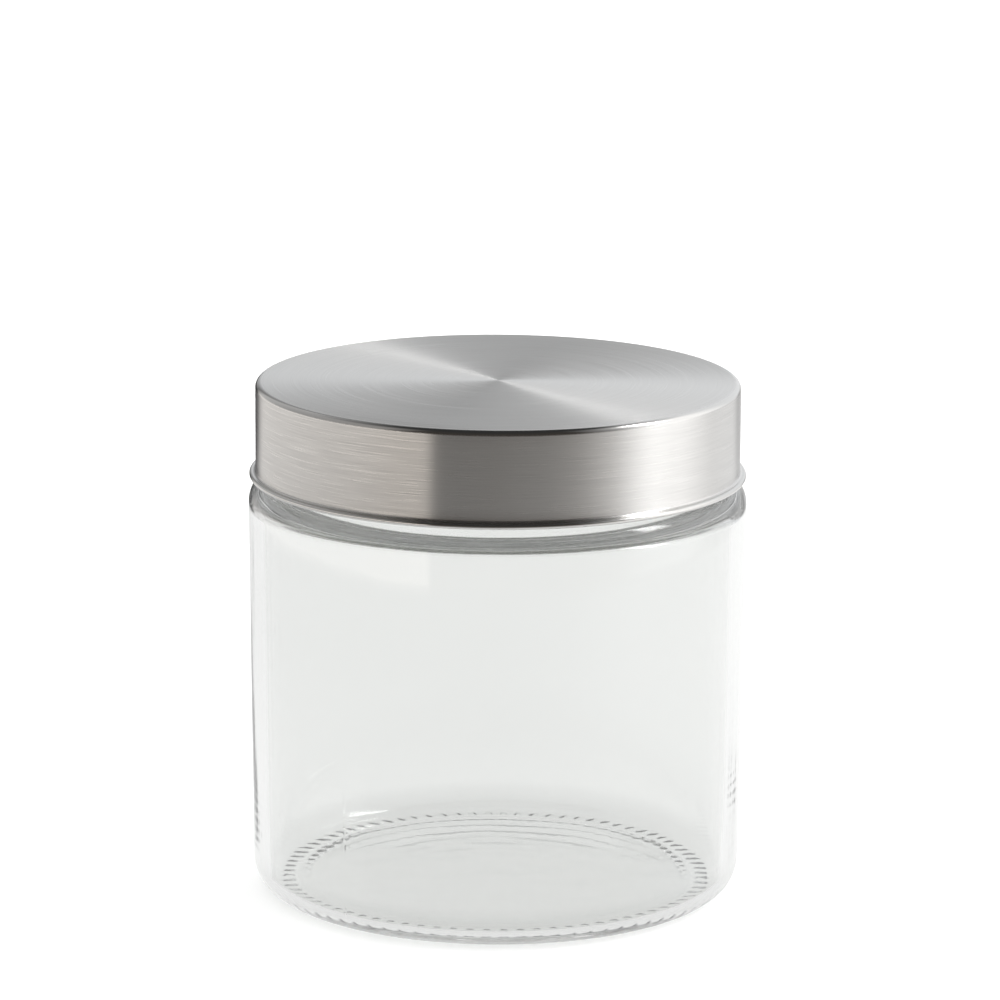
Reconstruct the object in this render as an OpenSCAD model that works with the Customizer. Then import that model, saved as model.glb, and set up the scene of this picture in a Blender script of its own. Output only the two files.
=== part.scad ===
// Round glass storage canister with a screw-on brushed steel lid.
// Four pieces: the moulded glass jar, the pressed steel shell of the lid, the threaded plastic
// insert fixed inside that shell, and the sealing gasket that lies between insert and rim.
// Millimetres, +Z up. The origin is the middle of the ring that the jar stands on.

/* [Jar body] */
// Outer diameter of the straight wall
body_d = 105; // [95:0.5:125]
// Height of the jar from the table to its sealing rim
jar_h = 106.2; // [80:0.1:160]
// Thickness of the straight wall
wall_t = 3.4; // [2.6:0.1:4.5]
// How far the wall leans in from the shoulder down to the heel
wall_lean = 0.9; // [0:0.1:1.5]
// Radius of the heel, where the wall turns under the base
heel_r = 6.6; // [5:0.1:7.5]
// Radius of the inside corner between wall and floor
floor_corner_r = 3; // [2.4:0.1:6]
// Height of the floor's edge above the table
base_t = 3; // [2.6:0.1:6]

/* [Standing ring and push-up] */
// Width of the flat ring that the jar stands on
ring_w = 3; // [2:0.1:4]
// Height of the step on the ring's inner side
ring_step_h = 0.6; // [0.4:0.1:1.2]
// Width of the slope on the ring's inner side
ring_step_w = 1.4; // [0.8:0.1:2]
// How far the underside's middle rises above the step
push_up_h = 1.2; // [0.6:0.1:1.6]
// How far the floor's middle rises above its edge
floor_rise_h = 1; // [0.6:0.1:2.4]

/* [Grip grooves] */
// Number of grooves across the standing ring
groove_count = 80; // [60:1:100]
// Radius of a groove's round section
groove_r = 0.9; // [0.6:0.1:1.2]
// Depth of a groove
groove_depth = 0.5; // [0.3:0.1:0.7]
// Width of the unbroken rim that the grooves leave along the inner edge of the ring
ring_rim_w = 1; // [0.5:0.1:1.6]

/* [Shoulder and neck] */
// Radius of the shoulder's outer curve
shoulder_r = 6.5; // [5.6:0.1:7]
// Thickness of the glass from the top of the shoulder's curve down to the inside below it
shoulder_t = 5.4; // [4.4:0.1:6.2]
// Radius of the inside corner under the shoulder
inner_shoulder_r = 2.5; // [1.8:0.1:3.2]
// How far the neck's outside is set in from the body's outside
neck_inset = 4.9; // [4.4:0.1:5.8]
// Radius of the hollow between shoulder and neck
neck_root_r = 1; // [0.8:0.1:1.6]
// Height of the neck from its root to the sealing rim
neck_h = 15.8; // [14.4:0.1:20]
// Thickness of the neck's glass
neck_t = 3.7; // [3.4:0.1:4.4]
// Rounding of the sealing rim's two edges
rim_round_r = 1.2; // [0.8:0.1:1.4]

/* [Closure thread] */
// Rise of the lid over one full turn
thread_lead = 12; // [11:0.1:14]
// Number of ridges, spaced evenly round the neck
thread_starts = 2; // [2]
// How far a ridge stands out of its wall
thread_depth = 1.3; // [1.1:0.1:1.4]
// Width of a ridge where it leaves its wall
thread_root_w = 2.4; // [2:0.1:2.6]
// Width of a ridge at its crest
thread_crest_w = 1.1; // [0.8:0.1:1.4]
// Angle that each ridge covers on the jar
jar_ridge_turn = 240; // [180:5:250]
// Angle that each ridge covers in the insert
insert_ridge_turn = 170; // [120:5:180]
// Angle over which a ridge rises out of its wall at either end
ridge_run_in = 24; // [15:1:35]
// Distance from the rim down to the top of the jar's ridges
thread_below_rim = 2.2; // [1.6:0.1:2.6]

/* [Lid shell] */
// Thickness of the steel sheet
sheet_t = 0.45; // [0.4:0.05:0.7]
// Outer radius of the edge between top and skirt
lid_edge_r = 1.3; // [1:0.1:1.8]
// Height of the hem, the sheet's lower edge folded flat on itself and turned outwards
hem_h = 1.15; // [0.95:0.05:1.4]
// How far the hem stands out from the skirt
hem_out = 1.3; // [1.2:0.1:1.8]
// Radius of the hollow between skirt and hem
hem_bend_r = 0.6; // [0.4:0.05:0.7]
// Radius of the bend inside, where the skirt turns out into the hem
hem_turn_r = 1; // [0.8:0.05:1.1]
// How far the hem reaches down past the root of the neck
skirt_drop = 1.25; // [0.6:0.05:1.5]

/* [Lid insert] */
// Thickness of the insert's skirt
insert_wall_t = 1.25; // [1.1:0.05:1.8]
// Thickness of the insert's top plate
insert_plate_t = 1.25; // [1:0.05:2]
// Thickness of the ring that keeps the gasket from slipping inwards
keeper_t = 1.2; // [1:0.1:1.6]
// Depth of that ring below the plate
keeper_h = 3.2; // [2.4:0.1:4]
// How far the insert stops short of the hem's lower edge
insert_short = 1.15; // [0.8:0.05:1.6]

/* [Gasket] */
// Thickness of the gasket as it lies between the rim and the plate
gasket_t = 1.5; // [1.2:0.1:2.4]

/* [Clearances] */
// Gap between a ridge's crest and the wall that it runs past
thread_crest_gap = 0.35; // [0.3:0.05:0.5]
// Gap along the axis between a jar ridge and the insert ridge that pulls against it
thread_play = 0.35; // [0.3:0.05:0.6]
// Gap all round between the insert and the steel shell
insert_fit = 0.05; // [0.04:0.01:0.1]
// Gap between the gasket's edges and the insert
gasket_fit = 0.3; // [0.25:0.05:0.4]
// Gap between the jar's mouth and the keeper ring inside it
keeper_gap = 0.8; // [0.5:0.1:1]

/* [Hidden] */

$fn = 96;
arc_steps = 10;
dome_steps = 12;
ridge_steps_per_turn = 48;
ridge_sink = 0.4;
turn = 360;
quarter = 90;
half = 0.5;
same_point = 0.001;

glass_color = [0.86, 0.9, 0.88, 0.45];
steel_color = [0.76, 0.75, 0.73];
insert_color = [0.93, 0.93, 0.91];
gasket_color = [0.88, 0.88, 0.86, 0.8];

body_r = body_d / 2;
low_r = body_r - wall_lean;
neck_r = body_r - neck_inset;
mouth_r = neck_r - neck_t;

shoulder_axis_r = body_r - shoulder_r;
shoulder_reach = shoulder_r + neck_root_r;
shoulder_angle = acos((shoulder_reach - neck_inset) / shoulder_reach);
neck_root_z = jar_h - neck_h;
wall_top_z = neck_root_z - shoulder_reach * sin(shoulder_angle);
inner_shoulder_z = wall_top_z + shoulder_r - shoulder_t;
inner_shoulder_axis_r = body_r - wall_t - inner_shoulder_r;
mouth_root_r = inner_shoulder_axis_r - mouth_r;

ring_outer_r = low_r - heel_r;
ring_inner_r = ring_outer_r - ring_w;
push_up_r = ring_inner_r - ring_step_w;
groove_in_r = ring_inner_r + ring_rim_w;
floor_r = low_r - wall_t - floor_corner_r;

insert_inner_r = neck_r + thread_depth + thread_crest_gap;
insert_outer_r = insert_inner_r + insert_wall_t;
shell_inner_r = insert_outer_r + insert_fit;
shell_outer_r = shell_inner_r + sheet_t;

plate_low_z = jar_h + gasket_t;
plate_top_z = plate_low_z + insert_plate_t;
lid_top_z = plate_top_z + sheet_t;
hem_low_z = neck_root_z - skirt_drop;
hem_top_z = hem_low_z + hem_h;
hem_end_r = hem_h / 2;
hem_end_axis_r = shell_outer_r + hem_out - hem_end_r;
insert_low_z = hem_low_z + insert_short;

keeper_outer_r = mouth_r - keeper_gap;
keeper_inner_r = keeper_outer_r - keeper_t;

ridge_top_z = jar_h - thread_below_rim - thread_root_w / 2;
ridge_low_z = ridge_top_z - thread_lead * jar_ridge_turn / turn;
flank_offset = (thread_root_w + thread_crest_w) / 2 + thread_play;

// Points of an arc round the point c, from angle a to angle b, both ends included.
function arc(c, r, a, b) =
    let (steps = max(arc_steps, ceil(arc_steps * abs(b - a) / quarter)))
    [for (i = [0:steps]) let (t = a + (b - a) * i / steps) c + r * [cos(t), sin(t)]];

// Points of a shallow dome from radius r to the axis, edge_z high at the edge and rise higher
// at the axis. The axis point is left out, so that a profile names it once.
function dome(r, edge_z, rise) =
    [for (i = [0:dome_steps - 1]) let (u = 1 - i / dome_steps) [r * u, edge_z + rise * (1 - u * u)]];

// The points of a path from its last to its first.
function reversed(path) = [for (i = [len(path) - 1:-1:0]) path[i]];

// The paths end to end, where a point that two of them share counts once.
function joined(paths) =
    let (path = [for (p = paths) each p])
    [for (i = [0:len(path) - 1]) if (i == 0 || norm(path[i] - path[max(i - 1, 0)]) > same_point) path[i]];

// How far a ridge has risen at an angle from its start: 0 at both ends, 1 between the run-ins.
function ridge_rise(a, span) = min(1, a / ridge_run_in, (span - a) / ridge_run_in);

// Four corners of a ridge's section at one angle. side is 1 for a ridge that stands outwards
// and -1 for one that stands inwards. The root lies ridge_sink inside the wall, and the crest
// starts half of that inside it, so that the ridge comes out of the wall without a step.
function ridge_section(wall_r, side, a, span, z) =
    let (
        crest = (thread_depth + ridge_sink / 2) * ridge_rise(a, span) - ridge_sink / 2,
        root_half_w = thread_root_w / 2,
        crest_half_w = thread_crest_w / 2
    )
    [
        [wall_r - side * ridge_sink, z - root_half_w],
        [wall_r + side * crest, z - crest_half_w],
        [wall_r + side * crest, z + crest_half_w],
        [wall_r - side * ridge_sink, z + root_half_w]
    ];

// One ridge of a right-hand thread. It starts at height z, covers the angle span, and climbs
// anticlockwise by thread_lead in each turn.
module ridge(wall_r, side, z, span) {
    steps = ceil(ridge_steps_per_turn * span / turn);
    corners = 4;
    points = [
        for (i = [0:steps])
            let (a = span * i / steps)
                for (p = ridge_section(wall_r, side, a, span, z + thread_lead * a / turn))
                    [p[0] * cos(a), p[0] * sin(a), p[1]]
    ];
    sides = [
        for (i = [0:steps - 1], k = [0:corners - 1])
            let (m = (k + 1) % corners, low = i * corners, high = low + corners)
                each side < 0
                    ? [[low + k, high + m, low + m], [low + k, high + k, high + m]]
                    : [[low + k, low + m, high + m], [low + k, high + m, high + k]]
    ];
    last = steps * corners;
    ends = side < 0
        ? [[0, 1, 2], [0, 2, 3], [last, last + 2, last + 1], [last, last + 3, last + 2]]
        : [[0, 2, 1], [0, 3, 2], [last, last + 1, last + 2], [last, last + 2, last + 3]];
    polyhedron(points = points, faces = concat(sides, ends), convexity = 4);
}

// All the ridges of one wall, the first starting at angle start.
module thread(wall_r, side, z, span, start) {
    for (i = [0:thread_starts - 1])
        rotate([0, 0, start + i * turn / thread_starts])
            ridge(wall_r, side, z, span);
}

// The jar's glass from the table up its outside, over the rim and down its inside.
module jar_profile() {
    outside = [
        arc([ring_outer_r, heel_r], heel_r, -90, 0),
        arc([shoulder_axis_r, wall_top_z], shoulder_r, 0, shoulder_angle),
        arc([neck_r + neck_root_r, neck_root_z], neck_root_r, shoulder_angle + 180, 180)
    ];
    rim = [
        arc([neck_r - rim_round_r, jar_h - rim_round_r], rim_round_r, 0, 90),
        arc([mouth_r + rim_round_r, jar_h - rim_round_r], rim_round_r, 90, 180)
    ];
    inside = [
        arc([inner_shoulder_axis_r, inner_shoulder_z + mouth_root_r], mouth_root_r, 180, 270),
        arc([inner_shoulder_axis_r, inner_shoulder_z - inner_shoulder_r], inner_shoulder_r, 90, 0),
        arc([floor_r, base_t + floor_corner_r], floor_corner_r, 0, -90),
        dome(floor_r, base_t, floor_rise_h),
        [[0, base_t + floor_rise_h]]
    ];
    underside = [
        [[0, ring_step_h + push_up_h]],
        reversed(dome(push_up_r, ring_step_h, push_up_h)),
        [[ring_inner_r, 0]]
    ];
    polygon(joined(concat(outside, rim, inside, underside)));
}

// Round grooves along the radii of the standing ring. Each starts where the ring's unbroken rim
// ends, and runs out through the heel.
module grip_grooves() {
    for (i = [0:groove_count - 1])
        rotate([0, 0, (i + half) * turn / groove_count])
            translate([groove_in_r, 0, groove_depth - groove_r])
                rotate([0, quarter, 0])
                    cylinder(r = groove_r, h = body_r - groove_in_r);
}

module glass_jar() {
    color(glass_color) {
        difference() {
            rotate_extrude() jar_profile();
            grip_grooves();
        }
        thread(neck_r, 1, ridge_low_z, jar_ridge_turn, 0);
    }
}

// The steel sheet from the middle of the top, round the edge and down the skirt to the hem,
// then up the inside again.
module shell_profile() {
    edge_axis = [shell_outer_r - lid_edge_r, lid_top_z - lid_edge_r];
    polygon(joined([
        [[0, plate_top_z], [0, lid_top_z]],
        arc(edge_axis, lid_edge_r, 90, 0),
        arc([shell_outer_r + hem_bend_r, hem_top_z + hem_bend_r], hem_bend_r, 180, 270),
        arc([hem_end_axis_r, hem_low_z + hem_end_r], hem_end_r, 90, -90),
        arc([shell_inner_r + hem_turn_r, hem_low_z + hem_turn_r], hem_turn_r, 270, 180),
        arc(edge_axis, lid_edge_r - sheet_t, 0, 90)
    ]));
}

module lid_shell() {
    color(steel_color)
        rotate_extrude() shell_profile();
}

// The plate, the skirt and the keeper ring of the insert.
module insert_profile() {
    edge_axis = [insert_outer_r - lid_edge_r, plate_top_z - lid_edge_r];
    polygon(concat(
        [[0, plate_top_z]],
        arc(edge_axis, lid_edge_r, 90, 0),
        [
            [insert_outer_r, insert_low_z],
            [insert_inner_r, insert_low_z],
            [insert_inner_r, plate_low_z],
            [keeper_outer_r, plate_low_z],
            [keeper_outer_r, plate_low_z - keeper_h],
            [keeper_inner_r, plate_low_z - keeper_h],
            [keeper_inner_r, plate_low_z],
            [0, plate_low_z]
        ]
    ));
}

module lid_insert() {
    color(insert_color) {
        rotate_extrude() insert_profile();
        thread(insert_inner_r, -1, ridge_low_z - flank_offset, insert_ridge_turn, 0);
    }
}

// The gasket lies between the insert's skirt and its keeper ring.
module lid_gasket() {
    color(gasket_color)
        translate([0, 0, jar_h])
            difference() {
                cylinder(r = insert_inner_r - gasket_fit, h = gasket_t);
                translate([0, 0, -gasket_t])
                    cylinder(r = keeper_outer_r + gasket_fit, h = 3 * gasket_t);
            }
}

glass_jar();
lid_shell();
lid_insert();
lid_gasket();
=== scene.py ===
"""Round glass storage canister with a screw-on brushed steel lid, in metres, +Z up.

Four pieces ride on the three bodies of the frame: the glass jar, the lid's steel shell and its
plastic insert, and the gasket. Each is a profile in (radius, height) turned about the Z axis, with
thread ridges and grooves added to the turned surface as functions of angle, radius and height.
"""

import logging
import math
from dataclasses import dataclass, field
from enum import Enum
from typing import ClassVar

import bpy
import numpy as np
from bpy.types import Material, Mesh, Node, NodeOutputs, NodeTree
from bpy.types import NodeSocket as Socket
from mathutils import Matrix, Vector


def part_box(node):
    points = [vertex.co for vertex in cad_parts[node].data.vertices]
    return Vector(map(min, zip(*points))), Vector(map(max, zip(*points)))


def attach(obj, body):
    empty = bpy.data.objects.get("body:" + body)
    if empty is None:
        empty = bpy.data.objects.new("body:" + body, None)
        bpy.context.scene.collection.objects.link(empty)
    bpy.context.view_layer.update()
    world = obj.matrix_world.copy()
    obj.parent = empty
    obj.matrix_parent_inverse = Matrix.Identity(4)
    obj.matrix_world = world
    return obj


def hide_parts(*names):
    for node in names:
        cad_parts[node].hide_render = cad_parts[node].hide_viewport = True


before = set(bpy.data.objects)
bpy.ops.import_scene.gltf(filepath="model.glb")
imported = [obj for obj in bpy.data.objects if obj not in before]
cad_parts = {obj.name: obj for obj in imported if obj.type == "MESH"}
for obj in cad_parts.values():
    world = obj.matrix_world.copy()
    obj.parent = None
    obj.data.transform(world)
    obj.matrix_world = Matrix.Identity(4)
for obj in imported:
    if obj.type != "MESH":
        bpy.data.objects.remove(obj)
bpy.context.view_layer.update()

LOG = logging.getLogger("canister")
MM = 0.001
TURN = 2 * math.pi
SAME_POINT = 1e-7  # two points of a profile that are closer than this count as one
SAME_RADIUS = 1e-6  # a point that is closer than this to a wall's radius lies on it
NOISE_RANGE = (0.3, 0.7)  # nearly all of a noise texture lies between these
RAMP_SCALE = 10.0  # a ramp's colours end at 1, so the room's ramps hold this part of them
SPAN_INPUTS = ("Value", "From Min", "From Max", "To Min", "To Max")
GLASS_BOUNCES = 32
GLOSSY_BOUNCES = 24
Array = np.ndarray
Colour = tuple[float, float, float]
Value = float | Socket


class Body(Enum):
    """The bodies of the frame, which the pieces ride on."""

    JAR = "jar"
    GASKET = "gasket"
    LID = "lid"


class Sum(Enum):
    """The sums that a Math node does here."""

    ADD = "ADD"
    SUBTRACT = "SUBTRACT"
    MULTIPLY = "MULTIPLY"
    DIVIDE = "DIVIDE"
    SQRT = "SQRT"
    ABSOLUTE = "ABSOLUTE"
    MAXIMUM = "MAXIMUM"
    ARCSINE = "ARCSINE"
    ARCTAN2 = "ARCTAN2"


# ---------------- profiles and meshes

def arc(centre: tuple[float, float], radius: float, start: float, end: float, count: int) -> Array:
    """Points of an arc: centre + radius * (cos a, sin a), with a running evenly from start to end.

    Args:
        centre: Middle of the arc as (radius from the axis, height).
        radius: Radius of the arc.
        start: First angle in degrees.
        end: Last angle in degrees.
        count: Number of points, both ends included.

    Returns:
        An array of (radius, height) rows.
    """
    angle = np.radians(np.linspace(start, end, count))
    return np.column_stack((centre[0] + radius * np.cos(angle), centre[1] + radius * np.sin(angle)))


def line(start: tuple[float, float], end: tuple[float, float], count: int) -> Array:
    """Points of a straight stretch, evenly spaced from start to end, both included.

    Args:
        start: First point as (radius, height).
        end: Last point as (radius, height).
        count: Number of points.

    Returns:
        An array of (radius, height) rows.
    """
    return np.linspace(start, end, count)


def dome(radius: float, edge: float, rise: float, count: int) -> Array:
    """Points of a shallow dome from its edge to the axis.

    The height at radius r is edge + rise * (1 - (r / radius)^2).

    Args:
        radius: Radius of the dome's edge.
        edge: Height of the edge.
        rise: Height of the middle above the edge.
        count: Number of points, both ends included.

    Returns:
        An array of (radius, height) rows that ends on the axis.
    """
    share = np.linspace(1.0, 0.0, count)
    return np.column_stack((radius * share, edge + rise * (1 - share**2)))


def joined(*paths: Array) -> Array:
    """The paths end to end, where a point that two neighbours share counts once.

    Args:
        *paths: Arrays of (radius, height) rows.

    Returns:
        One array of (radius, height) rows.
    """
    path = np.vstack(paths)
    step = np.linalg.norm(np.diff(path, axis=0), axis=1)
    return path[np.concatenate(([True], step > SAME_POINT))]


def smooth_step(value: Array) -> Array:
    """The curve 3 t^2 - 2 t^3 of value held between 0 and 1."""
    t = np.clip(value, 0.0, 1.0)
    return t * t * (3 - 2 * t)


def closed_mesh(name: str, points: Array, quads: Array, triangles: Array) -> Mesh:
    """A smooth-shaded mesh from arrays, its faces turned outwards if they pointed in.

    Half the cross product of a quad's diagonals is its area along its normal. The sum of that
    times the quad's centre has the sign of the volume, so a negative sum means that the faces
    point inwards, and their corners are then taken in the other order.

    Args:
        name: Name of the new mesh.
        points: Corner places, one row each.
        quads: Corner numbers of the four-sided faces.
        triangles: Corner numbers of the three-sided faces.

    Returns:
        The new mesh.
    """
    first, second, third, fourth = (points[quads[:, corner]] for corner in range(4))
    areas = np.cross(third - first, fourth - second)
    if np.einsum("ij,ij->", points[quads].mean(axis=1), areas) < 0:
        quads, triangles = quads[:, ::-1], triangles[:, ::-1]
    corners = np.concatenate((quads.ravel(), triangles.ravel())).astype(np.int32)
    sizes = np.repeat((4, 3), (len(quads), len(triangles)))
    starts = np.concatenate(([0], np.cumsum(sizes)[:-1])).astype(np.int32)
    mesh = bpy.data.meshes.new(name)
    mesh.vertices.add(len(points))
    mesh.vertices.foreach_set("co", points.astype(np.float32).ravel())
    mesh.loops.add(len(corners))
    mesh.loops.foreach_set("vertex_index", corners)
    mesh.polygons.add(len(starts))
    mesh.polygons.foreach_set("loop_start", starts)
    mesh.update(calc_edges=True)
    mesh.validate()
    mesh.shade_smooth()
    return mesh


# ---------------- shader helpers

class Nodes:
    """Adds nodes to a node tree and joins them, so that a material reads as a list of steps."""

    def __init__(self, tree: NodeTree) -> None:
        """Keeps the tree that the nodes go into."""
        self.tree = tree

    def add(self, kind: str, inputs: dict | None = None, **settings: object) -> Node:
        """Adds one node.

        Args:
            kind: The node's type, without the leading ShaderNode.
            inputs: Value or socket for each input, by name or number.
            **settings: The node's own properties.

        Returns:
            The new node.
        """
        node = self.tree.nodes.new("ShaderNode" + kind)
        for key, value in settings.items():
            setattr(node, key, value)
        for key, value in (inputs or {}).items():
            if isinstance(value, Socket):
                self.tree.links.new(value, node.inputs[key])
            else:
                node.inputs[key].default_value = value
        return node

    def join(self, result: Socket, node: Node, name: str) -> None:
        """Joins a result to the input of that name on a node."""
        self.tree.links.new(result, node.inputs[name])

    def parts(self, place: Socket) -> tuple[Socket, Socket, Socket]:
        """The x, y and z of a place or direction."""
        return tuple(self.add("SeparateXYZ", {0: place}).outputs)

    def math(self, operation: Sum, a: Value, b: Value = 0.0, clamp: bool = False) -> Socket:
        """The result of a sum on one or two values, held between 0 and 1 where clamp is set."""
        node = self.add("Math", {0: a, 1: b}, operation=operation.value, use_clamp=clamp)
        return node.outputs[0]

    def span(
        self, value: Socket, low: float, high: float, new_low: float, new_high: float
    ) -> Socket:
        """The value carried from low..high to new_low..new_high, and held at the ends."""
        inputs = dict(zip(SPAN_INPUTS, (value, low, high, new_low, new_high)))
        return self.add("MapRange", inputs, clamp=True).outputs[0]

    def times(self, a: Value, b: Value) -> Socket:
        """The product of two numbers or sockets."""
        return self.math(Sum.MULTIPLY, a, b)

    def from_axis(self, x: Socket, y: Socket) -> Socket:
        """The distance of (x, y) from the Z axis: sqrt(x^2 + y^2)."""
        return self.math(Sum.SQRT, self.math(Sum.ADD, self.times(x, x), self.times(y, y)))

    def angle(self, x: Socket, y: Socket) -> Socket:
        """The angle of (x, y) round the Z axis: 0 towards -Y and a quarter turn towards +X."""
        return self.math(Sum.ARCTAN2, x, self.times(y, -1.0))

    def blend(self, share: Value, first: object, second: object) -> Socket:
        """The first colour where the share is 0, the second where it is 1."""
        return self.add("Mix", {0: share, 6: first, 7: second}, data_type="RGBA").outputs[2]

    def scaled(self, colour: object, factor: Value) -> Socket:
        """A colour times a factor."""
        return self.add("VectorMath", {0: colour, "Scale": factor}, operation="SCALE").outputs[0]

    def mixed(self, share: Value, first: Socket, second: Socket) -> Socket:
        """The first shader where the share is 0, the second where it is 1."""
        return self.add("MixShader", {0: share, 1: first, 2: second}).outputs[0]

    def bump(self, height: Socket, strength: float, depth: float) -> Socket:
        """The normal of a surface with a relief of that height, strength and depth."""
        inputs = {"Strength": strength, "Distance": depth, "Height": height}
        return self.add("Bump", inputs).outputs[0]


def opaque(colour: Colour) -> tuple[float, float, float, float]:
    """A colour with its alpha, which is 1."""
    return (*colour, 1.0)


def new_material(
    name: str, kind: str = "BsdfPrincipled"
) -> tuple[Material, Nodes, Node, Node]:
    """A node material with nothing but a shader and its output.

    Args:
        name: Name of the material.
        kind: The shader's type, without the leading ShaderNode.

    Returns:
        The material, its node helper, its shader and its output node.
    """
    material = bpy.data.materials.new(name)
    material.use_nodes = True
    material.node_tree.nodes.clear()
    nodes = Nodes(material.node_tree)
    output = nodes.add("OutputMaterial")
    shader = nodes.add(kind)
    nodes.join(shader.outputs[0], output, "Surface")
    return material, nodes, shader, output


def new_group(
    name: str, inputs: list[str], outputs: list[str]
) -> tuple[Nodes, NodeOutputs, Node]:
    """An empty shader node group with named sockets, where the input named Vector is a vector.

    Args:
        name: Name of the group.
        inputs: Names of the inputs.
        outputs: Names of the outputs, which are numbers.

    Returns:
        The helper of the group's tree, the sockets of its inputs and its output node.
    """
    group = bpy.data.node_groups.new(name, "ShaderNodeTree")
    for label in inputs:
        kind = "NodeSocketVector" if label == "Vector" else "NodeSocketFloat"
        group.interface.new_socket(label, in_out="INPUT", socket_type=kind)
    for label in outputs:
        group.interface.new_socket(label, in_out="OUTPUT", socket_type="NodeSocketFloat")
    given = group.nodes.new("NodeGroupInput").outputs
    return Nodes(group), given, group.nodes.new("NodeGroupOutput")


def brush_lines_group() -> NodeTree:
    """The fine lines that brushing leaves on a turned sheet.

    The lines run round the axis: a noise is read at (cos a, sin a) * Breaks and (r - z) * Pitch,
    so that it changes slowly along a line and quickly across it, on flat top and skirt alike.

    Returns:
        The group, whose output Lines is the noise.
    """
    least_radius, detail, roughness = 0.01 * MM, 4.0, 0.6
    nodes, given, result = new_group("BrushLines", ["Vector", "Breaks", "Pitch"], ["Lines"])
    x, y, z = nodes.parts(given["Vector"])
    radius = nodes.math(Sum.MAXIMUM, nodes.from_axis(x, y), least_radius)
    cosine, sine = (nodes.math(Sum.DIVIDE, part, radius) for part in (x, y))
    spot = nodes.add("CombineXYZ", {
        0: nodes.times(cosine, given["Breaks"]),
        1: nodes.times(sine, given["Breaks"]),
        2: nodes.times(nodes.math(Sum.SUBTRACT, radius, z), given["Pitch"]),
    }).outputs[0]
    inputs = {"Vector": spot, "Scale": 1.0, "Detail": detail, "Roughness": roughness}
    nodes.join(nodes.add("TexNoise", inputs).outputs[0], result, "Lines")
    return nodes.tree


def moulded_grain_group() -> NodeTree:
    """The fine grain of a moulded surface: a noise, and a roughness that rises a little with it.

    Returns:
        The group, whose output Height is the noise. Its output Roughness is the roughness given,
        times a factor that goes from 1 - spread to 1 + spread as the noise rises.
    """
    detail, spread = 3.0, 0.1
    inputs = ["Vector", "Scale", "Roughness"]
    nodes, given, result = new_group("MouldedGrain", inputs, ["Height", "Roughness"])
    spot = {"Vector": given["Vector"], "Scale": given["Scale"], "Detail": detail}
    noise = nodes.add("TexNoise", spot).outputs[0]
    factor = nodes.span(noise, *NOISE_RANGE, 1 - spread, 1 + spread)
    nodes.join(noise, result, "Height")
    nodes.join(nodes.times(factor, given["Roughness"]), result, "Roughness")
    return nodes.tree


# ---------------- finishes

@dataclass(frozen=True)
class ClearGlass:
    """Clear glass with slow waves and a mould seam, its thick base darker, partly painted shade."""

    tint: Colour = (0.908, 0.915, 0.906)
    # painted shade: the base is darker than the thick glass alone, for the shadow under the jar
    base_tint_and_shade: Colour = (0.785, 0.792, 0.783)
    base_from: float = 4.5 * MM
    base_to: float = 9 * MM
    index: float = 1.52
    relief_depth: float = 0.3 * MM
    wave_scale: float = 48.0
    wave_rise: float = 0.3
    base_calm: float = 0.75
    seam_angle: float = math.radians(-37)
    seam_width: float = 0.35 * MM
    seam_height: float = 0.1
    outer_from: float = 50.5 * MM
    outer_to: float = 51 * MM

    def relief(self, nodes: Nodes, place: Socket) -> Socket:
        """Height of the surface's slow waves and of the fine seam that the mould leaves outside.

        The waves are a noise stretched upwards, and calmer in the base. The seam is a narrow
        ridge at one angle round the axis: seam_height * (1 - distance / seam_width), held at 0.

        Args:
            nodes: Helper of the material's tree.
            place: Socket of the place on the object.

        Returns:
            The socket that holds the height, as a share of the relief's depth.
        """
        x, y, z = nodes.parts(place)
        stretch = {0: place, 1: (1.0, 1.0, self.wave_rise)}
        spot = nodes.add("VectorMath", stretch, operation="MULTIPLY").outputs[0]
        noise = {"Vector": spot, "Scale": self.wave_scale, "Detail": 1.0}
        waves = nodes.add("TexNoise", noise).outputs[0]
        radius = nodes.from_axis(x, y)
        off = nodes.math(Sum.ABSOLUTE, nodes.math(Sum.SUBTRACT, nodes.angle(x, y), self.seam_angle))
        aside = nodes.times(off, radius)
        ridge = nodes.span(aside, 0.0, self.seam_width, self.seam_height, 0.0)
        outside = nodes.span(radius, self.outer_from, self.outer_to, 0.0, 1.0)
        calm = nodes.span(z, self.base_from, self.base_to, self.base_calm, 1.0)
        seam = nodes.times(ridge, outside)
        return nodes.math(Sum.ADD, nodes.times(waves, calm), seam)

    def material(self) -> Material:
        """Smooth refracting glass that lets the light of lamps through to what is behind it.

        Returns:
            The material.
        """
        material, nodes, shader, output = new_material("ClearGlass")
        place = nodes.add("TexCoord").outputs["Object"]
        _, _, z = nodes.parts(place)
        # Painted shade: a darker tint in the base stands in for the shadow beneath the jar.
        wall = nodes.span(z, self.base_from, self.base_to, 0.0, 1.0)
        tint = nodes.blend(wall, opaque(self.base_tint_and_shade), opaque(self.tint))
        nodes.join(tint, shader, "Base Color")
        nodes.join(nodes.bump(self.relief(nodes, place), 1.0, self.relief_depth), shader, "Normal")
        shader.inputs["Roughness"].default_value = 0.0
        shader.inputs["IOR"].default_value = self.index
        shader.inputs["Transmission Weight"].default_value = 1.0
        clear = nodes.add("BsdfTransparent", {"Color": opaque(self.tint)}).outputs[0]
        shadow = nodes.add("LightPath").outputs["Is Shadow Ray"]
        nodes.join(nodes.mixed(shadow, shader.outputs[0], clear), output, "Surface")
        return material


@dataclass(frozen=True)
class Brushing:
    """The brush lines of one area.

    Breaks is how often a line changes its tone on its way round, pitch how often the tone changes
    across the lines, per metre, and contrast how far it changes.
    """

    breaks: float
    pitch: float
    contrast: float


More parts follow.
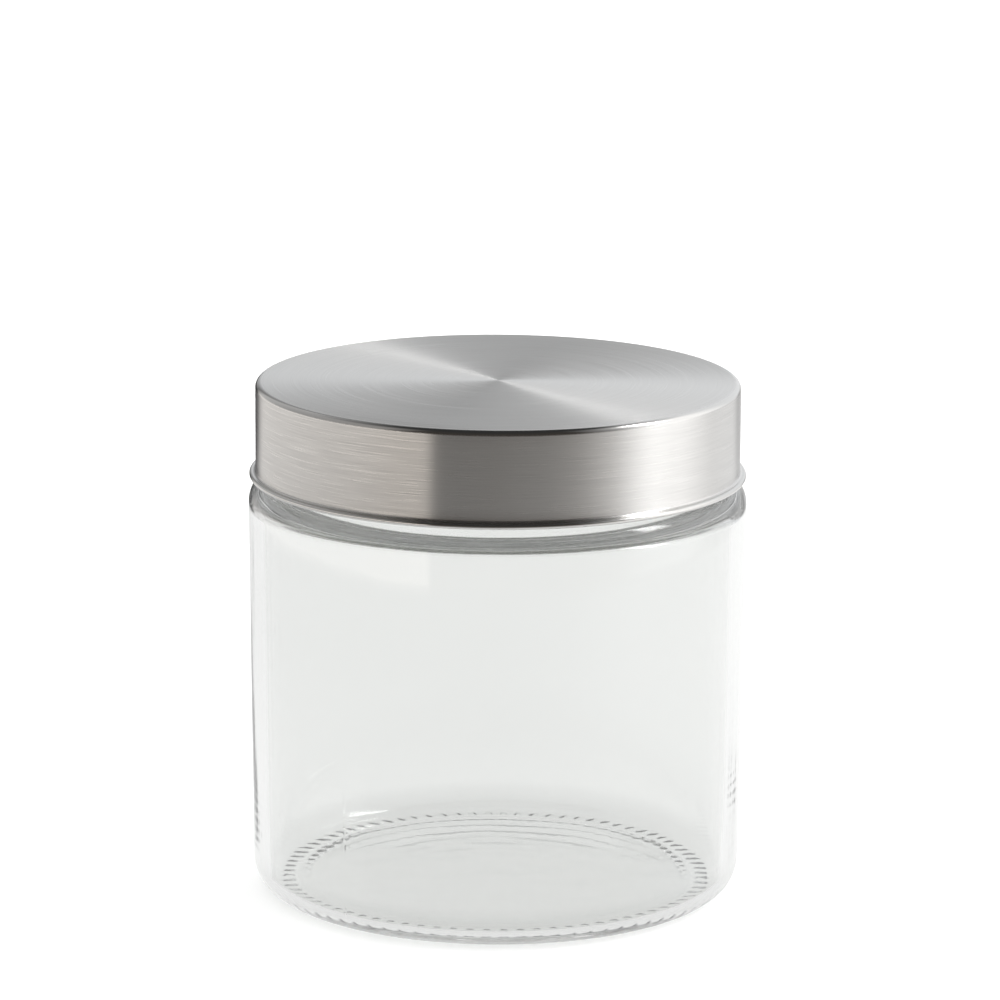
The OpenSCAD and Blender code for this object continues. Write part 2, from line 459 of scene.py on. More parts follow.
@dataclass(frozen=True)
class BrushedSteel:
    """Stainless sheet brushed round its axis, smoother where it is bent at the edge and the hem.

    Edge and hem are the heights between which the skirt is brushed, and inner_edge is the radius
    at which the flat top ends. Shade and wear are the factors of the base colour and of the
    roughness on the darkest and on the lightest lines, and polish is that of the bends.
    """

    edge: float
    inner_edge: float
    hem: float
    bend: float = 0.4 * MM
    top: Brushing = Brushing(breaks=0.9, pitch=7000.0, contrast=0.65)
    skirt: Brushing = Brushing(breaks=4.0, pitch=6200.0, contrast=0.72)
    base: Colour = (0.66, 0.65, 0.635)
    shade: tuple[float, float] = (0.9, 1.06)
    roughness: float = 0.3
    wear: tuple[float, float] = (1.25, 0.8)
    polish: float = 0.4
    anisotropy: float = 0.95
    quarter_turn: float = 0.25
    line_strength: float = 0.05
    line_depth: float = 0.04 * MM

    def streaks(self, nodes: Nodes, place: Socket, height: Socket) -> Socket:
        """The brush lines of top and skirt, each with its own contrast about the middle tone.

        Args:
            nodes: Helper of the material's tree.
            place: Socket of the place on the object.
            height: Socket of its height.

        Returns:
            The socket that holds the lines' tone.
        """
        group = brush_lines_group()
        middle = sum(NOISE_RANGE) / 2
        on_skirt = nodes.span(height, self.edge - self.bend, self.edge + self.bend, 1.0, 0.0)
        values = ({"Breaks": area.breaks, "Pitch": area.pitch} for area in (self.top, self.skirt))
        top, skirt = (
            nodes.add("Group", {"Vector": place, **area}, node_tree=group).outputs[0]
            for area in values
        )
        lines = nodes.add("Mix", {0: on_skirt, 2: top, 3: skirt}).outputs[0]
        contrast = nodes.span(on_skirt, 0.0, 1.0, self.top.contrast, self.skirt.contrast)
        centred = nodes.times(nodes.math(Sum.SUBTRACT, lines, middle), contrast)
        return nodes.math(Sum.ADD, centred, middle)

    def bends(self, nodes: Nodes, radius: Socket, height: Socket) -> Socket:
        """1 on the round edge and on the hem, and 0 on flat top and skirt.

        Args:
            nodes: Helper of the material's tree.
            radius: Socket of the distance from the axis.
            height: Socket of the height.

        Returns:
            The socket that holds the mask.
        """
        high = nodes.span(height, self.edge, self.edge + self.bend, 0.0, 1.0)
        outer = nodes.span(radius, self.inner_edge, self.inner_edge + self.bend, 0.0, 1.0)
        folded = nodes.span(height, self.hem, self.hem + self.bend, 1.0, 0.0)
        return nodes.math(Sum.MAXIMUM, nodes.times(high, outer), folded)

    def material(self) -> Material:
        """Metal whose highlights spread across its brush lines, with the lines as bump and tone.

        Returns:
            The material.
        """
        material, nodes, shader, _ = new_material("BrushedSteel")
        place = nodes.add("TexCoord").outputs["Object"]
        x, y, z = nodes.parts(place)
        streak = self.streaks(nodes, place, z)
        shade = nodes.span(streak, *NOISE_RANGE, *self.shade)
        rough = nodes.span(streak, *NOISE_RANGE, *(self.roughness * factor for factor in self.wear))
        bend = self.bends(nodes, nodes.from_axis(x, y), z)
        smooth = nodes.span(bend, 0.0, 1.0, 1.0, self.polish)
        tangent = nodes.add("Tangent", direction_type="RADIAL", axis="Z").outputs[0]
        nodes.join(nodes.scaled(self.base, shade), shader, "Base Color")
        nodes.join(nodes.times(rough, smooth), shader, "Roughness")
        nodes.join(nodes.bump(streak, self.line_strength, self.line_depth), shader, "Normal")
        nodes.join(tangent, shader, "Tangent")
        shader.inputs["Metallic"].default_value = 1.0
        shader.inputs["Anisotropic"].default_value = self.anisotropy
        shader.inputs["Anisotropic Rotation"].default_value = self.quarter_turn
        return material


@dataclass(frozen=True)
class MouldedPlastic:
    """Satin moulded plastic. Its glow is painted light, which brightens it in the lid's shade."""

    name: str
    base: Colour
    roughness: float
    # painted light: an emission that brightens the part in the shade under the lid
    glow: float
    grain_scale: float = 900.0
    grain_strength: float = 0.2
    grain_depth: float = 0.03 * MM

    def material(self, grain: NodeTree) -> Material:
        """Plastic with a faint grain in its roughness and height.

        Args:
            grain: The group of the moulded grain.

        Returns:
            The material.
        """
        material, nodes, shader, _ = new_material(self.name)
        place = nodes.add("TexCoord").outputs["Object"]
        values = {"Vector": place, "Scale": self.grain_scale, "Roughness": self.roughness}
        surface = nodes.add("Group", values, node_tree=grain).outputs
        relief = nodes.bump(surface["Height"], self.grain_strength, self.grain_depth)
        nodes.join(surface["Roughness"], shader, "Roughness")
        nodes.join(relief, shader, "Normal")
        shader.inputs["Base Color"].default_value = opaque(self.base)
        # Painted light: the part glows in its own colour, which lifts it out of the lid's shade.
        shader.inputs["Emission Color"].default_value = opaque(self.base)
        shader.inputs["Emission Strength"].default_value = self.glow
        return material


# ---------------- sub-assemblies

@dataclass(frozen=True)
class ClosureThread:
    """A right-hand thread of evenly spaced ridges that taper out at both ends."""

    lead: float = 12 * MM
    starts: int = 2
    depth: float = 1.3 * MM
    root_width: float = 2.4 * MM
    crest_width: float = 1.1 * MM
    run_in: float = math.radians(24)

    def height(self, angle: Array, level: Array, low: float, span: float) -> Array:
        """How far the ridges stand out of their wall at each angle and level.

        A ridge's middle climbs as low + lead * a / 2 pi. Its section rises from half the root
        width to half the crest width, and its two ends fade over the run-in angle.

        Args:
            angle: Angles round the axis.
            level: Heights.
            low: Height of a ridge's middle where it starts.
            span: Angle that a ridge covers.

        Returns:
            The ridges' height above the wall.
        """
        result = np.zeros_like(angle)
        flank = (self.root_width - self.crest_width) / 2
        for start in range(self.starts):
            along = np.mod(angle - start * TURN / self.starts, TURN)
            off = np.abs(level - low - self.lead * along / TURN)
            rise = smooth_step(np.minimum(along, span - along) / self.run_in)
            section = smooth_step((self.root_width / 2 - off) / flank)
            result = np.maximum(result, self.depth * rise * section)
        return result


class TurnedPiece:
    """What the pieces share: each is a profile turned about the Z axis, and stands for a CAD node.

    The profile runs with the solid on its left. Where it starts and ends on the axis the two
    ends become poles, and otherwise it is a closed loop.
    """

    node: ClassVar[str]
    body: ClassVar[Body]
    slot: ClassVar[str]
    columns: int

    def profile(self) -> Array:
        """The piece's section as (radius, height) rows, which each piece works out itself."""
        raise NotImplementedError

    def angles(self) -> Array:
        """The angles of the columns of points: evenly spaced all the way round, from 0."""
        return np.arange(self.columns) * TURN / self.columns

    def shape(self, angle: Array, radius: Array, height: Array) -> tuple[Array, Array]:
        """Leaves the radii and heights as they are, for a piece that is plainly round."""
        return radius, height

    def points(self) -> Array:
        """The points of the surface.

        A point at angle a is (r cos a, r sin a, z), where the piece's shape may first change r
        and z as a function of a, r and z.

        Returns:
            An array of (profile point, angle, coordinate).
        """
        profile, angles = self.profile(), self.angles()
        radius, angle = np.meshgrid(profile[:, 0], angles, indexing="ij")
        height = np.repeat(profile[:, 1:2], len(angles), axis=1)
        radius, height = self.shape(angle, radius, height)
        return np.stack((radius * np.cos(angle), radius * np.sin(angle), height), axis=-1)

    def mesh(self) -> Mesh:
        """The surface as a mesh of quads, with a fan of triangles round each pole.

        Returns:
            The mesh, smooth shaded.
        """
        points = self.points()
        rows, columns, _ = points.shape
        has_poles = self.profile()[0, 0] == 0
        column = np.arange(columns)[None, :]
        after = (column + 1) % columns
        # Each pole's row becomes one point, so a profile with poles has two rows and three
        # bands of quads fewer than a closed loop.
        bands = rows - 3 if has_poles else rows
        band = np.arange(bands)[:, None]
        this_row, next_row = band * columns, (band + 1) % rows * columns
        corners = (this_row + column, this_row + after, next_row + after, next_row + column)
        quads = np.stack(corners, axis=-1).reshape(-1, 4)
        triangles = np.empty((0, 3), dtype=int)
        if has_poles:
            body = points[1:-1].reshape(-1, 3)
            points = np.vstack((body, points[0].mean(axis=0), points[-1].mean(axis=0)))
            first, last = np.full(columns, len(body)), np.full(columns, len(body) + 1)
            around, onward = column.ravel(), after.ravel()
            last_row = bands * columns
            triangles = np.vstack((
                np.stack((first, onward, around), axis=-1),
                np.stack((last, last_row + around, last_row + onward), axis=-1),
            ))
        return closed_mesh(f"{self.node}_visual", points.reshape(-1, 3), quads, triangles)

    def build(self, material: Material) -> None:
        """Puts the piece in the scene, on its body and in the place of its CAD node.

        Args:
            material: The piece's finish.
        """
        mesh = self.mesh()
        mesh.materials.append(material)
        piece = bpy.data.objects.new(mesh.name, mesh)
        bpy.context.scene.collection.objects.link(piece)
        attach(piece, self.body.value)
        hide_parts(self.node)
        LOG.info("%s: %d faces, rides on %s", piece.name, len(mesh.polygons), self.body.value)


@dataclass
class GlassJar(TurnedPiece):
    """The moulded jar: standing ring, heel, wall, shoulder, threaded neck and rim."""

    node, body, slot = "glass_jar", Body.JAR, "jar_glass"
    thread: ClosureThread
    wall: float = 3.4 * MM
    wall_lean: float = 0.9 * MM
    heel_radius: float = 6.6 * MM
    floor_corner: float = 3 * MM
    base: float = 3 * MM
    ring_width: float = 3 * MM
    ring_step_height: float = 0.4 * MM
    ring_step_width: float = 3.2 * MM
    push_up: float = 1.2 * MM
    floor_rise: float = 1 * MM
    shoulder_radius: float = 6.5 * MM
    shoulder_thickness: float = 5.4 * MM
    inner_shoulder_radius: float = 2.5 * MM
    neck_inset: float = 4.9 * MM
    neck_root_radius: float = 1 * MM
    neck_height: float = 15.8 * MM
    neck_wall: float = 3.7 * MM
    rim_round: float = 1.2 * MM
    below_rim: float = 2.2 * MM
    ridge_span: float = math.radians(240)
    groove_count: int = 80
    groove_radius: float = 1.8 * MM
    groove_depth: float = 0.24 * MM
    groove_start: float = 1 * MM
    columns_per_groove: int = 8
    radius: float = field(init=False)
    rim: float = field(init=False)

    def __post_init__(self) -> None:
        """Takes the jar's outer radius and height from the frame."""
        low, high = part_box("glass_jar")
        self.radius = (high[0] - low[0]) / 2
        self.rim = high[2]

    @property
    def neck_radius(self) -> float:
        """Outer radius of the neck."""
        return self.radius - self.neck_inset

    @property
    def mouth_radius(self) -> float:
        """Inner radius of the neck."""
        return self.neck_radius - self.neck_wall

    @property
    def neck_root(self) -> float:
        """Height at which the neck's straight outside begins."""
        return self.rim - self.neck_height

    @property
    def ridge_low(self) -> float:
        """Height of a ridge's middle where it starts."""
        top = self.rim - self.below_rim - self.thread.root_width / 2
        return top - self.thread.lead * self.ridge_span / TURN

    @property
    def low_radius(self) -> float:
        """Outer radius of the wall where it meets the heel."""
        return self.radius - self.wall_lean

    @property
    def ring_outer(self) -> float:
        """Outer radius of the flat standing ring."""
        return self.low_radius - self.heel_radius

    @property
    def ring_inner(self) -> float:
        """Inner radius of the flat standing ring."""
        return self.ring_outer - self.ring_width

    def profile(self) -> Array:
        """The jar's section, from the middle of the underside round to the middle of the floor.

        Between push-up and ring the height falls from the step's height as 1 - (3 t^2 - 2 t^3).
        The shoulder's arc meets the small arc at the neck's foot where the cosine of its turn is
        1 - neck_inset / (sum of the two radii).

        Returns:
            An array of (radius, height) rows, from axis to axis.
        """
        ring_inner = self.ring_inner
        push_up_radius = ring_inner - self.ring_step_width
        groove_in = ring_inner + self.groove_start
        axis = self.radius - self.shoulder_radius
        reach = self.shoulder_radius + self.neck_root_radius
        turn = math.degrees(math.acos((reach - self.neck_inset) / reach))
        wall_top = self.neck_root - reach * math.sin(math.radians(turn))
        ceiling = wall_top + self.shoulder_radius - self.shoulder_thickness
        inner_wall = self.radius - self.wall
        inner_axis = (inner_wall - self.inner_shoulder_radius, ceiling - self.inner_shoulder_radius)
        root_radius = inner_axis[0] - self.mouth_radius
        root_axis = (inner_axis[0], ceiling + root_radius)
        low_wall = self.low_radius - self.wall
        floor = low_wall - self.floor_corner
        corner = self.base + self.floor_corner
        ease = np.linspace(0, 1, 9)
        step_radius = push_up_radius + ease * self.ring_step_width
        step_height = self.ring_step_height * (1 - smooth_step(ease))
        neck, lip = self.neck_radius, self.rim_round
        heel = (self.ring_outer, self.heel_radius)
        foot = (neck + self.neck_root_radius, self.neck_root)
        lip_low = self.rim - lip
        return joined(
            dome(push_up_radius, self.ring_step_height, self.push_up, 15)[::-1],
            np.column_stack((step_radius, step_height)),
            line((ring_inner, 0.0), (groove_in, 0.0), 3),
            line((groove_in, 0.0), (self.ring_outer, 0.0), 5),
            arc(heel, self.heel_radius, -90, -60, 12),
            arc(heel, self.heel_radius, -60, 0, 10),
            line((self.low_radius, self.heel_radius), (self.radius, wall_top), 4),
            arc((axis, wall_top), self.shoulder_radius, 0, turn, 11),
            arc(foot, self.neck_root_radius, turn + 180, 180, 6),
            line((neck, self.neck_root), (neck, lip_low), 28),
            arc((neck - lip, lip_low), lip, 0, 90, 7),
            arc((self.mouth_radius + lip, lip_low), lip, 90, 180, 7),
            arc(root_axis, root_radius, 180, 270, 9),
            arc(inner_axis, self.inner_shoulder_radius, 90, 0, 12),
            line((inner_wall, inner_axis[1]), (low_wall, corner), 4),
            arc((floor, corner), self.floor_corner, 0, -90, 10),
            dome(floor, self.base, self.floor_rise, 15),
        )

    def shape(self, angle: Array, radius: Array, height: Array) -> tuple[Array, Array]:
        """Adds the thread ridges to the neck and cuts the grooves across the standing ring.

        On the neck the radius grows by the thread's height. On the ring, a round groove of
        radius R lies along each of groove_count radii, from a little outside the ring's inner
        edge out through the heel. At a distance x from the groove's middle the underside is no
        lower than depth - R + sqrt(R^2 - x^2).

        Args:
            angle: Angles of the grid.
            radius: Radii of the grid.
            height: Heights of the grid.

        Returns:
            The new radii and heights.
        """
        on_neck = (np.abs(radius - self.neck_radius) < SAME_RADIUS) & (height > self.neck_root)
        ridges = self.thread.height(angle, height, self.ridge_low, self.ridge_span)
        radius = radius + np.where(on_neck, ridges, 0.0)
        pitch = TURN / self.groove_count
        across = radius * np.sin(np.mod(angle, pitch) - pitch / 2)
        under = np.sqrt(np.clip(self.groove_radius**2 - across**2, 0.0, None))
        lift = self.groove_depth - self.groove_radius + under
        grooved = radius > self.ring_inner + self.groove_start + SAME_RADIUS
        return radius, np.where(grooved, np.maximum(height, lift), height)

    def angles(self) -> Array:
        """The angles of the columns: most lie in the grooves, and one between each two grooves.

        On the flat ring a groove reaches sqrt(depth * (2 R - depth)) to each side.

        Returns:
            The angles.
        """
        pitch = TURN / self.groove_count
        chord = math.sqrt(self.groove_depth * (2 * self.groove_radius - self.groove_depth))
        half = math.asin(chord / self.ring_inner)
        offsets = np.append(np.linspace(-half, half, self.columns_per_groove - 1), pitch / 2)
        middles = np.arange(self.groove_count)[:, None] * pitch + pitch / 2
        return (middles + offsets[None, :]).ravel()


@dataclass
class LidShell(TurnedPiece):
    """The pressed steel shell: flat top, round edge, skirt and hem."""

    node, body, slot = "lid_shell", Body.LID, "lid_steel"
    sheet: float = 0.45 * MM
    edge_radius: float = 1.3 * MM
    hem_height: float = 1.15 * MM
    hem_out: float = 1.3 * MM
    bend_radius: float = 0.6 * MM
    turn_radius: float = 1 * MM
    columns: int = 512

    def profile(self) -> Array:
        """The sheet's section: straight stretches and arcs from inside round the hem to outside.

        Returns:
            An array of (radius, height) rows, from axis to axis.
        """
        low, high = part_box("lid_shell")
        outer = high[0] - self.hem_out
        inner = outer - self.sheet
        axis = (outer - self.edge_radius, high[2] - self.edge_radius)
        ceiling = high[2] - self.sheet
        hem_top = low[2] + self.hem_height
        hem, bend, turn = self.hem_height / 2, self.bend_radius, self.turn_radius
        return joined(
            line((0.0, ceiling), (axis[0], ceiling), 8),
            arc(axis, self.edge_radius - self.sheet, 90, 0, 8),
            line((inner, axis[1]), (inner, low[2] + turn), 8),
            arc((inner + turn, low[2] + turn), turn, 180, 270, 10),
            arc((high[0] - hem, low[2] + hem), hem, -90, 90, 20),
            arc((outer + bend, hem_top + bend), bend, 270, 180, 12),
            line((outer, hem_top + bend), (outer, axis[1]), 8),
            arc(axis, self.edge_radius, 0, 90, 16),
            line((axis[0], high[2]), (0.0, high[2]), 24),
        )

    def steel(self) -> BrushedSteel:
        """The sheet's finish, with the places of its bends.

        Returns:
            The finish.
        """
        low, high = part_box("lid_shell")
        return BrushedSteel(
            edge=high[2] - self.edge_radius,
            inner_edge=high[0] - self.hem_out - self.edge_radius,
            hem=low[2] + self.hem_height,
        )


@dataclass
class LidInsert(TurnedPiece):
    """The moulded insert: plate, threaded skirt and keeper ring."""

    node, body, slot = "lid_insert", Body.LID, "insert_plastic"
    jar: GlassJar
    plate: float = 1.25 * MM
    wall: float = 1.25 * MM
    corner: float = 1.3 * MM
    keeper: float = 1.2 * MM
    keeper_depth: float = 3.2 * MM
    keeper_gap: float = 0.8 * MM
    play: float = 0.35 * MM
    lip: float = 0.25 * MM
    ridge_span: float = math.radians(170)
    columns: int = 480

    @property
    def keeper_outer(self) -> float:
        """Outer radius of the keeper ring."""
        return self.jar.mouth_radius - self.keeper_gap

    def profile(self) -> Array:
        """The insert's section: straight stretches and arcs from its underside to its top.

        Returns:
            An array of (radius, height) rows, from axis to axis.
        """
        low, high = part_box("lid_insert")
        outer, keeper_outer, lip = high[0], self.keeper_outer, self.lip
        inner = outer - self.wall
        under = high[2] - self.plate
        keeper_inner = keeper_outer - self.keeper
        keeper_end = under - self.keeper_depth + lip
        end, top = low[2] + lip, high[2] - self.corner
        return joined(
            line((0.0, under), (keeper_inner, under), 12),
            line((keeper_inner, under), (keeper_inner, keeper_end), 6),
            arc((keeper_inner + lip, keeper_end), lip, 180, 270, 5),
            arc((keeper_outer - lip, keeper_end), lip, 270, 360, 5),
            line((keeper_outer, keeper_end), (keeper_outer, under), 6),
            line((keeper_outer, under), (inner, under), 6),
            line((inner, under), (inner, end), 44),
            arc((inner + lip, end), lip, 180, 270, 5),
            arc((outer - lip, end), lip, 270, 360, 5),
            line((outer, end), (outer, top), 6),
            arc((outer - self.corner, top), self.corner, 0, 90, 7),
            line((outer - self.corner, high[2]), (0.0, high[2]), 6),
        )

    def shape(self, angle: Array, radius: Array, height: Array) -> tuple[Array, Array]:
        """Adds the thread ridges inside the skirt, just under those of the jar.

        Args:
            angle: Angles of the grid.
            radius: Radii of the grid.
            height: Heights of the grid.

        Returns:
            The new radii and the same heights.
        """
        _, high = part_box("lid_insert")
        thread = self.jar.thread
        offset = (thread.root_width + thread.crest_width) / 2 + self.play
        ridges = thread.height(angle, height, self.jar.ridge_low - offset, self.ridge_span)
        on_wall = np.abs(radius - (high[0] - self.wall)) < SAME_RADIUS
        return radius - np.where(on_wall, ridges, 0.0), height


@dataclass
class LidGasket(TurnedPiece):
    """The sealing ring."""

    node, body, slot = "lid_gasket", Body.GASKET, "gasket_silicone"
    insert: LidInsert
    fit: float = 0.3 * MM
    corner: float = 0.35 * MM
    columns: int = 360

    def profile(self) -> Array:
        """The ring's section: a bar with round corners.

        Returns:
            An array of (radius, height) rows, as a closed loop.
        """
        low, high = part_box("lid_gasket")
        outer = high[0]
        inner = self.insert.keeper_outer + self.fit
        corner = self.corner
        near, far = inner + corner, outer - corner
        return joined(
            arc((near, low[2] + corner), corner, 180, 270, 5),
            line((near, low[2]), (far, low[2]), 5),
            arc((far, low[2] + corner), corner, 270, 360, 5),
            arc((far, high[2] - corner), corner, 0, 90, 5),
            line((far, high[2]), (near, high[2]), 5),
            arc((near, high[2] - corner), corner, 90, 180, 5),
        )


# ---------------- studio

@dataclass(frozen=True)
class RoomStop:
    """Brightness and warmth of the room at one angle round the canister.

    The angle is 0 at the camera's side, 90 at the right and 180 behind. Warmth adds to red what
    it takes from blue.
    """

    angle: float
    brightness: float
    warmth: float = 0.0

    @property
    def colour(self) -> tuple[float, float, float, float]:
        """The stop's colour as a ramp holds it."""
        dim = self.brightness / RAMP_SCALE
        return opaque((dim * (1 + self.warmth), dim, dim * (1 - self.warmth)))


def room_stops(*rows: tuple[float, ...]) -> tuple[RoomStop, ...]:
    """Room stops from rows of angle, brightness and, where it isn't 0, warmth."""
    return tuple(RoomStop(*row) for row in rows)


@dataclass(frozen=True)
class SoftBox:
    """A soft-edged bright patch of the room, in degrees round the canister and upwards."""

    angle: float
    half_width: float
    low: float
    high: float
    brightness: float
    edge: float = 6.0


@dataclass
class Studio:
    """The camera, the pale floor, the surroundings and the lamp. Its angles are in degrees."""

    camera_distance: float = 1.155
    camera_height: float = 0.3456
    camera_pitch: float = 12.78
    camera_pan: float = 0.025
    camera_roll: float = 0.34
    focal_pixels: float = 5615.5
    sensor: float = 36.0
    frame_pixels: float = 1000.0
    sight: float = 50.0
    floor_size: float = 3.0
    floor_white: float = 0.8
    floor_glow: float = 0.33
    floor_through: float = 0.88
    mirror_near: float = 0.07
    mirror_far: float = 0.26
    mirror_hold: float = 0.39
    mirror_end: float = 0.42
    low_to_high: tuple[float, float] = (-3.0, 3.0)
    high_to_top: tuple[float, float] = (40.0, 65.0)
    overhead: float = 0.04
    through_glass: float = 0.95
    lamp_height: float = 2.5
    lamp_size: float = 6.0
    lamp_radiance: float = 1.3
    low_room: tuple[RoomStop, ...] = room_stops(
        (-180, 0.6), (-173, 0.05), (-158, 0.05), (-149, 0.90, 0.03), (-110, 1.3, 0.04),
        (-88, 1.4, 0.05), (-68, 1.5, 0.06), (-50, 1.55, 0.08), (-33, 1.7, 0.08),
        (-29.5, 0.22, 0.08), (0, 0.27, 0.09), (22, 0.25, 0.09), (40, 0.40, 0.08),
        (54, 0.76, 0.05), (66, 1.35, 0.01), (78, 1.75), (95, 1.75), (110, 1.1), (120, 0.85),
        (132, 0.95), (148, 0.92), (158, 0.4), (170, 0.90), (180, 0.35),
    )
    high_room: tuple[RoomStop, ...] = room_stops(
        (-180, 0.86, -0.02), (-172, 0.55, -0.02), (-158, 0.2), (-149, 0.6), (-120, 0.45),
        (-60, 0.35, 0.03), (-40, 0.05, 0.1), (40, 0.05, 0.1), (60, 0.4), (80, 1.5), (110, 1.5),
        (140, 1.05, -0.02), (168, 0.98, -0.02), (180, 0.86, -0.02),
    )
    # painted light on the table, as reflections see it on each side of the canister
    painted_table_light: tuple[RoomStop, ...] = room_stops(
        (-180, 1.0), (-120, 0.6), (-60, 0.2), (0, 0.2), (30, 0.5), (60, 1.2), (110, 1.2),
        (180, 1.0),
    )
    streak_box: SoftBox = SoftBox(angle=90, half_width=8, low=34, high=52, brightness=12)

    def camera(self) -> None:
        """Puts the camera in front of the canister, above it and looking down."""
        data = bpy.data.cameras.new("camera")
        data.sensor_width = self.sensor
        data.lens = self.focal_pixels * self.sensor / self.frame_pixels
        data.clip_end = self.sight
        camera = bpy.data.objects.new("camera", data)
        camera.location = (0.0, -self.camera_distance, self.camera_height)
        angles = (self.camera_pan, self.camera_pitch, self.camera_roll)
        pan, pitch, roll = map(math.radians, angles)
        look = Matrix.Rotation(-pan, 4, "Z") @ Matrix.Rotation(math.pi / 2 - pitch, 4, "X")
        rotation = look @ Matrix.Rotation(roll, 4, "Z")
        camera.rotation_euler = rotation.to_euler()
        bpy.context.scene.collection.objects.link(camera)
        bpy.context.scene.camera = camera

    def ring(self, nodes: Nodes, x: Socket, y: Socket, stops: tuple[RoomStop, ...]) -> Socket:
        """The room's colour at the angle of (x, y) round the canister, read off a ramp.

        Args:
            nodes: Helper of the tree that the nodes go into.
            x: Socket of the place's or direction's x.
            y: Socket of its y.
            stops: Angles and colours, from -180 to 180 degrees.

        Returns:
            The socket that holds the colour.
        """
        share = nodes.span(nodes.angle(x, y), -math.pi, math.pi, 0.0, 1.0)
        ramp = nodes.add("ValToRGB", {0: share})
        elements = ramp.color_ramp.elements
        elements[0].color, elements[1].color = stops[0].colour, stops[-1].colour
        for stop in stops[1:-1]:
            elements.new((stop.angle + 180) / 360).color = stop.colour
        return nodes.scaled(ramp.outputs[0], RAMP_SCALE)

    def floor(self) -> None:
        """Lays a pale table top that shows white, apart from the canister's soft shadow.

        The table glows a little to a ray from the camera, and is nearly plain white through
        glass. A reflection sees painted light on it: white close to the canister, then as bright
        as the room is on that side, and from a little way out sees the room itself. From below it
        can't be seen.
        """
        size = self.floor_size
        corners = [(-size, -size, 0), (size, -size, 0), (size, size, 0), (-size, size, 0)]
        mesh = bpy.data.meshes.new("floor")
        mesh.from_pydata(corners, [], [(0, 1, 2, 3)])
        floor = bpy.data.objects.new("floor", mesh)
        bpy.context.scene.collection.objects.link(floor)
        material, nodes, matt, output = new_material("PaleFloor", "BsdfDiffuse")
        matt.inputs["Color"].default_value = opaque((self.floor_white,) * 3)
        path = nodes.add("LightPath").outputs
        x, y, _ = nodes.parts(nodes.add("TexCoord").outputs["Object"])
        out = nodes.from_axis(x, y)
        clear = nodes.add("BsdfTransparent").outputs[0]
        white = nodes.add("Emission", {"Strength": 1.0}).outputs[0]

        glowing = nodes.times(path["Is Camera Ray"], self.floor_glow)
        glow = nodes.add("Emission", {"Strength": glowing})
        lit = nodes.add("AddShader", {0: glow.outputs[0], 1: matt.outputs[0]}).outputs[0]
        through = nodes.times(path["Is Transmission Ray"], self.floor_through)
        seen = nodes.mixed(through, lit, white)

        # Painted light: to a reflection the table shows white near the canister, then a brightness
        # by side.
        near = nodes.span(out, self.mirror_near, self.mirror_far, 1.0, 0.0)
        side = self.ring(nodes, x, y, self.painted_table_light)
        bright = nodes.blend(near, side, opaque((1.0, 1.0, 1.0)))
        painted_floor_light = nodes.add("Emission", {"Color": bright, "Strength": 1.0}).outputs[0]
        gone = nodes.span(out, self.mirror_hold, self.mirror_end, 0.0, 1.0)
        mirrored = nodes.mixed(gone, painted_floor_light, clear)

        # A ray through smooth glass counts as a reflection too, so that is taken off.
        mirror = nodes.math(
            Sum.SUBTRACT, path["Is Glossy Ray"], path["Is Transmission Ray"], clamp=True
        )
        under = nodes.add("NewGeometry").outputs["Backfacing"]
        shown = nodes.mixed(mirror, seen, mirrored)
        nodes.join(nodes.mixed(under, shown, clear), output, "Surface")
        mesh.materials.append(material)

    def soft_box(self, nodes: Nodes, angle: Socket, height: Socket) -> Socket:
        """The light of the soft box in one direction: the product of a ramp at each of its edges.

        Args:
            nodes: Helper of the world's tree.
            angle: Socket of the direction's angle round the canister.
            height: Socket of its angle above the horizon.

        Returns:
            The socket that holds the brightness.
        """
        box, half = self.streak_box, self.streak_box.edge / 2
        aside = nodes.math(Sum.ABSOLUTE, nodes.math(Sum.SUBTRACT, angle, math.radians(box.angle)))
        ramps = (
            (aside, box.half_width + half, box.half_width - half),
            (height, box.low - half, box.low + half),
            (height, box.high + half, box.high - half),
        )
        lit = box.brightness
        for value, dark, bright in ramps:
            share = nodes.span(value, math.radians(dark), math.radians(bright), 0.0, 1.0)
            lit = nodes.times(share, lit)
        return lit

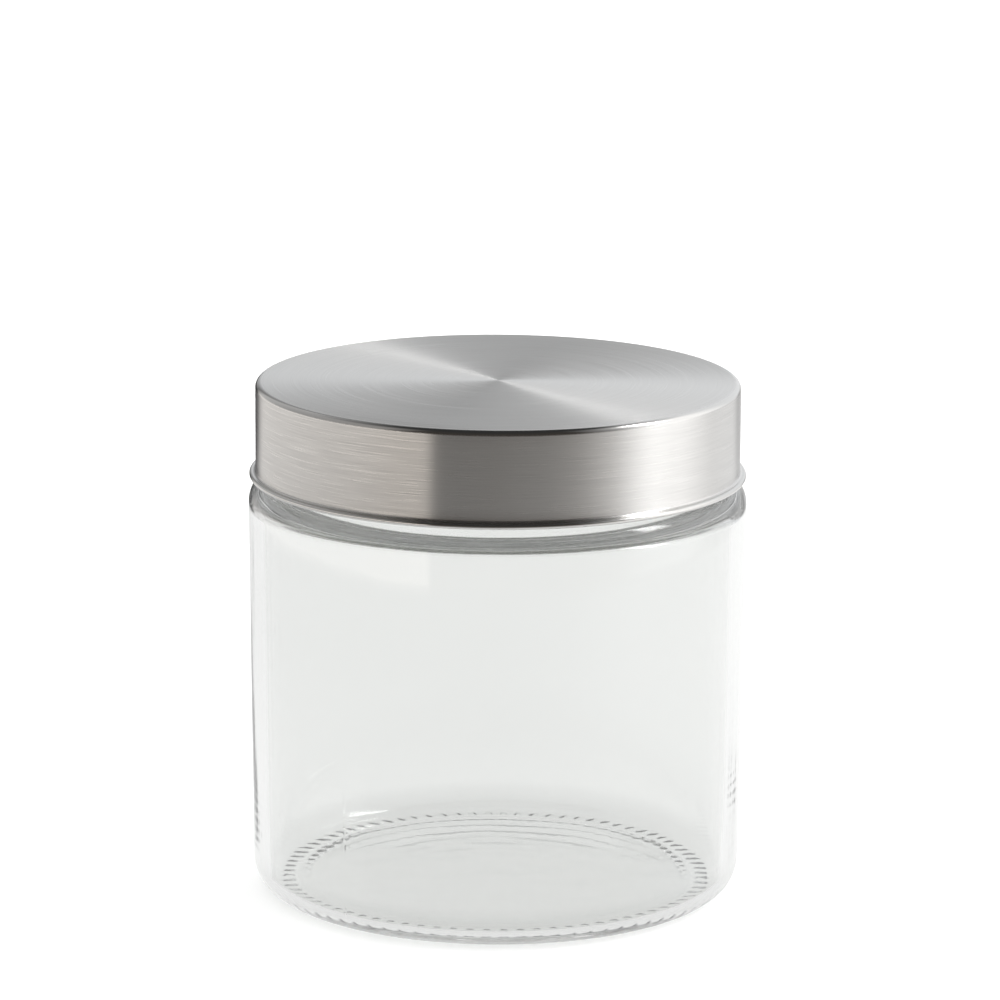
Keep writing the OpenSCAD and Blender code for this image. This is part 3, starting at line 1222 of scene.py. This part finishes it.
    def surroundings(self) -> None:
        """The room: one ring of colours below the horizon, one above it, and a dark ceiling.

        A soft box hangs high at the right. Where the camera looks straight at the room, it is
        plain white, and through glass it is nearly so.
        """
        world = bpy.data.worlds.new("room")
        bpy.context.scene.world = world
        world.use_nodes = True
        world.node_tree.nodes.clear()
        nodes = Nodes(world.node_tree)
        path = nodes.add("LightPath").outputs
        x, y, z = nodes.parts(nodes.add("TexCoord").outputs["Generated"])
        height = nodes.math(Sum.ARCSINE, z)
        low, high = (self.ring(nodes, x, y, stops) for stops in (self.low_room, self.high_room))
        rise, top = (
            nodes.span(height, *map(math.radians, heights), 0.0, 1.0)
            for heights in (self.low_to_high, self.high_to_top)
        )
        room = nodes.blend(top, nodes.blend(rise, low, high), opaque((self.overhead,) * 3))
        lit = self.soft_box(nodes, nodes.angle(x, y), height)
        total = nodes.add("VectorMath", {0: room, 1: lit}, operation="ADD").outputs[0]
        through = nodes.times(path["Is Transmission Ray"], self.through_glass)
        plain = nodes.math(Sum.MAXIMUM, path["Is Camera Ray"], through)
        shown = nodes.add("VectorMath", {0: total, 1: plain}, operation="MAXIMUM").outputs[0]
        glow = nodes.add("Background", {"Color": shown, "Strength": 1.0}).outputs[0]
        nodes.join(glow, nodes.add("OutputWorld"), "Surface")

    def lamp(self) -> None:
        """Hangs one wide soft lamp over the table. Reflections don't show it."""
        data = bpy.data.lights.new("ceiling_lamp", "AREA")
        data.shape = "SQUARE"
        data.size = self.lamp_size
        data.energy = self.lamp_radiance * math.pi * self.lamp_size**2
        lamp = bpy.data.objects.new("ceiling_lamp", data)
        lamp.location = (0.0, 0.0, self.lamp_height)
        lamp.visible_camera = False
        lamp.visible_glossy = False
        lamp.visible_transmission = False
        bpy.context.scene.collection.objects.link(lamp)

    def build(self) -> None:
        """Makes the whole studio."""
        self.camera()
        self.floor()
        self.surroundings()
        self.lamp()


def main() -> None:
    """Builds the studio and the canister, piece by piece."""
    scene = bpy.context.scene
    scene.view_settings.view_transform = "Standard"
    scene.cycles.max_bounces = GLASS_BOUNCES
    scene.cycles.glossy_bounces = GLOSSY_BOUNCES
    scene.cycles.transmission_bounces = GLASS_BOUNCES
    Studio().build()
    thread = ClosureThread()
    jar = GlassJar(thread)
    jar.build(ClearGlass().material())
    shell = LidShell()
    shell.build(shell.steel().material())
    grain = moulded_grain_group()
    # The glow of insert and gasket is painted light, which brightens them under the lid.
    plastic = MouldedPlastic("WhitePlastic", base=(0.9, 0.9, 0.88), roughness=0.42, glow=0.06)
    insert = LidInsert(jar)
    insert.build(plastic.material(grain))
    silicone = MouldedPlastic("ClearSilicone", base=(0.88, 0.885, 0.88), roughness=0.5, glow=0.1)
    LidGasket(insert).build(silicone.material(grain))


if __name__ == "__main__":
    logging.basicConfig(level=logging.INFO)
    main()
